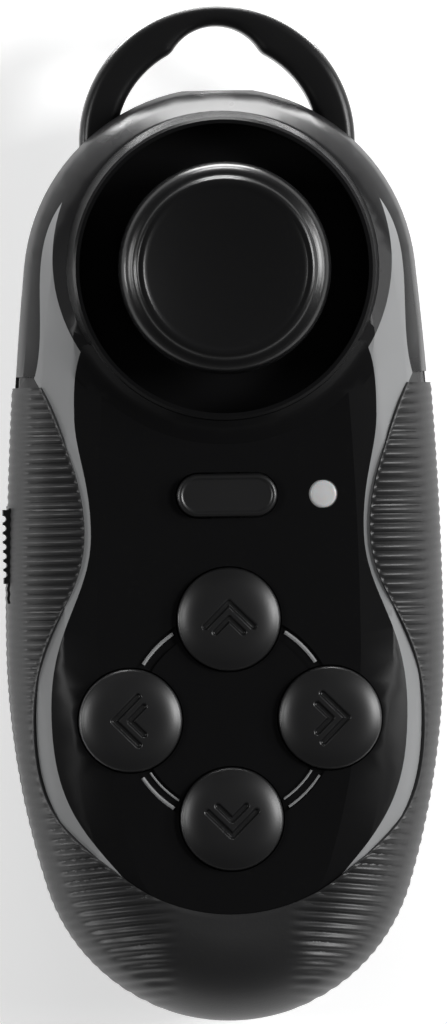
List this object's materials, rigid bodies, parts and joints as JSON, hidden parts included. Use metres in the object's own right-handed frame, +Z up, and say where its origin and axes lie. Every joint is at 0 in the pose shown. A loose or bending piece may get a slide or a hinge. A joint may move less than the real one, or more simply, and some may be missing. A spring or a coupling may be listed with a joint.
{
  "type": "vr controller",
  "caption": "Small one-hand wireless remote with a thumb stick in a raised collar, an hourglass key face, round keys, finger keys below, rubber grips and a carry loop.",
  "frame": {"origin": "on the table under the middle of the remote's length and width", "axes": "+X to the right, +Y towards the carry loop, +Z up out of the key face"},
  "size_m": [0.0475, 0.11, 0.0327],
  "materials": {
    "case_gloss": "polished black ABS, slightly hazy",
    "case_under": "fine spark-eroded black ABS",
    "face_black": "satin black ABS",
    "trim_silver": "silver lacquer on plastic, satin",
    "grip_rubber": "ribbed black rubber, matt",
    "loop_black": "satin black nylon",
    "pad_rubber": "soft-touch rubber over plastic",
    "key_black": "semi-gloss black plastic",
    "lamp_window": "milky clear light pipe",
    "inner_black": "moulded black nylon",
    "inner_white": "natural acetal",
    "tin_steel": "tin-plated steel sheet",
    "spring_steel": "nickel-plated wire and strip",
    "membrane_grey": "silicone rubber, matt",
    "board_green": "solder mask on glass-epoxy board",
    "cell_wrap": "plain printed sleeve on a steel can",
    "screw_black": "blackened steel"
  },
  "bodies": {
    "root": {"upper_housing": "case_gloss", "lower_housing": "case_under", "face_plate": "face_black", "trim_strip_left": "trim_silver", "trim_strip_right": "trim_silver", "grip_upper": "grip_rubber", "grip_lower": "grip_rubber", "lanyard_loop": "loop_black", "joystick_frame": "tin_steel", "joystick_base": "inner_black", "joystick_spring": "spring_steel", "joystick_sensor_side": "inner_black", "joystick_sensor_rear": "inner_black", "button_membrane": "membrane_grey", "led_lens": "lamp_window", "status_led": "lamp_window", "main_pcb": "board_green", "radio_chip": "inner_black", "crystal": "tin_steel", "mode_switch_body": "tin_steel", "trigger_pins": "spring_steel", "cell_left": "cell_wrap", "cell_right": "cell_wrap", "battery_bridge": "spring_steel", "battery_contact_positive": "spring_steel", "battery_contact_negative": "spring_steel", "case_screws": "screw_black", "pcb_screws": "spring_steel", "trigger_switch_upper": "inner_black", "trigger_switch_lower": "inner_black"},
    "key_square": {"button_square": "key_black"},
    "key_cross": {"button_cross": "key_black"},
    "key_triangle": {"button_triangle": "key_black"},
    "key_mode": {"button_mode": "key_black"},
    "key_start": {"start_button": "key_black"},
    "trigger_upper": {"trigger_upper": "key_black"},
    "trigger_lower": {"trigger_lower": "key_black"},
    "mode_switch": {"mode_switch_knob": "key_black", "mode_switch_slider": "inner_white"},
    "cover": {"battery_cover": "case_under"},
    "stick_arm": {"joystick_arm": "inner_white"},
    "stick": {"joystick_cap": "pad_rubber", "joystick_stem": "inner_black"},
    "stick_bail": {"joystick_bail": "inner_white"}
  },
  "joints": [
    {"name": "key_square_press", "type": "slide", "parent": "root", "child": "key_square", "axis": [0, 0, -1], "range_m": [0, 0.001], "stiffness_N_per_m": 900, "springref_m": -0.0005, "deforming": ["button_membrane"]},
    {"name": "key_cross_press", "type": "slide", "parent": "root", "child": "key_cross", "axis": [0, 0, -1], "range_m": [0, 0.001], "stiffness_N_per_m": 900, "springref_m": -0.0005, "deforming": ["button_membrane"]},
    {"name": "key_triangle_press", "type": "slide", "parent": "root", "child": "key_triangle", "axis": [0, 0, -1], "range_m": [0, 0.001], "stiffness_N_per_m": 900, "springref_m": -0.0005, "deforming": ["button_membrane"]},
    {"name": "key_mode_press", "type": "slide", "parent": "root", "child": "key_mode", "axis": [0, 0, -1], "range_m": [0, 0.001], "stiffness_N_per_m": 900, "springref_m": -0.0005, "deforming": ["button_membrane"]},
    {"name": "start_press", "type": "slide", "parent": "root", "child": "key_start", "axis": [0, 0, -1], "range_m": [0, 0.001], "stiffness_N_per_m": 900, "springref_m": -0.0005, "deforming": ["button_membrane"]},
    {"name": "trigger_upper_pull", "type": "hinge", "parent": "root", "child": "trigger_upper", "pos_m": [0, 0.0404, 0.0109], "axis": [-1, 0, 0], "range_deg": [0, 6], "stiffness_Nm_per_rad": 0.05, "springref_deg": -5.73},
    {"name": "trigger_lower_pull", "type": "hinge", "parent": "root", "child": "trigger_lower", "pos_m": [0, 0.0275, 0.0109], "axis": [-1, 0, 0], "range_deg": [0, 6], "stiffness_Nm_per_rad": 0.05, "springref_deg": -5.73},
    {"name": "mode_switch_slide", "type": "slide", "parent": "root", "child": "mode_switch", "axis": [0, -1, 0], "range_m": [0, 0.002]},
    {"name": "battery_cover_slide", "type": "slide", "parent": "root", "child": "cover", "axis": [0, -1, 0], "range_m": [0, 0.055]},
    {"name": "stick_fore_aft", "type": "hinge", "parent": "root", "child": "stick_arm", "pos_m": [0, 0.0262, 0.0202], "axis": [1, 0, 0], "range_deg": [-16, 16], "stiffness_Nm_per_rad": 0.02, "deforming": ["joystick_spring"]},
    {"name": "stick_sideways", "type": "hinge", "parent": "stick_arm", "child": "stick", "pos_m": [0, 0.0262, 0.0202], "axis": [0, 1, 0], "range_deg": [-16, 16], "stiffness_Nm_per_rad": 0.02, "deforming": ["joystick_spring"]},
    {"name": "bail_sideways", "type": "hinge", "parent": "root", "child": "stick_bail", "pos_m": [0, 0.0262, 0.0202], "axis": [0, 1, 0], "range_deg": [-16, 16]}
  ],
  "couplings": [
    {"joint": "bail_sideways", "follows": "stick_sideways", "ratio": 1}
  ]
}
